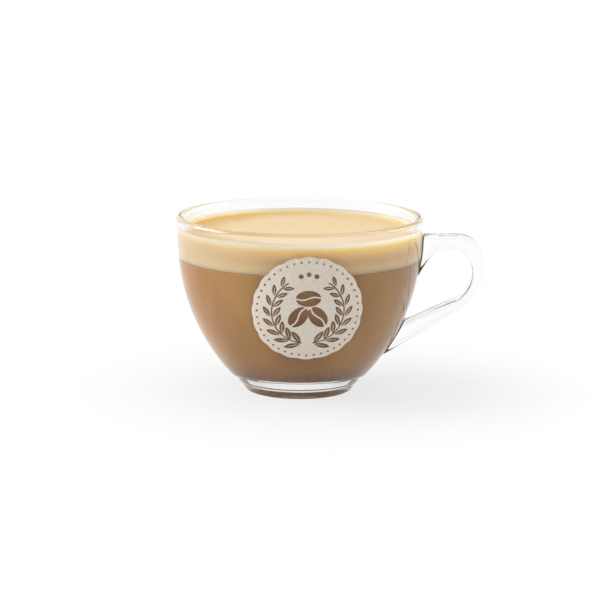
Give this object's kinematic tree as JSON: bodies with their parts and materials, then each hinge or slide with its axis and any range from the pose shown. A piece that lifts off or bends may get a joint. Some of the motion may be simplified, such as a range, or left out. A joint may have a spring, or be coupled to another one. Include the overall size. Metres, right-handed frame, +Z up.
{
  "type": "glass cup of milky coffee",
  "caption": "Footed clear glass cup with a strap handle, holding a brown milky drink under a thick layer of milk foam.",
  "frame": {"origin": "middle of the footprint, handle included, on the plane the foot stands on", "axes": "+X from the bowl towards the handle, +Y to the left of the handle, +Z up along the bowl's axis"},
  "size_m": [0.1242, 0.1, 0.0712],
  "materials": {
    "cup_glass": "polished",
    "coffee": "smooth opaque liquid",
    "milk_foam": "satin foam"
  },
  "bodies": {
    "root": {"glass_cup": "cup_glass", "coffee_drink": "coffee", "milk_foam": "milk_foam"}
  },
  "joints": []
}
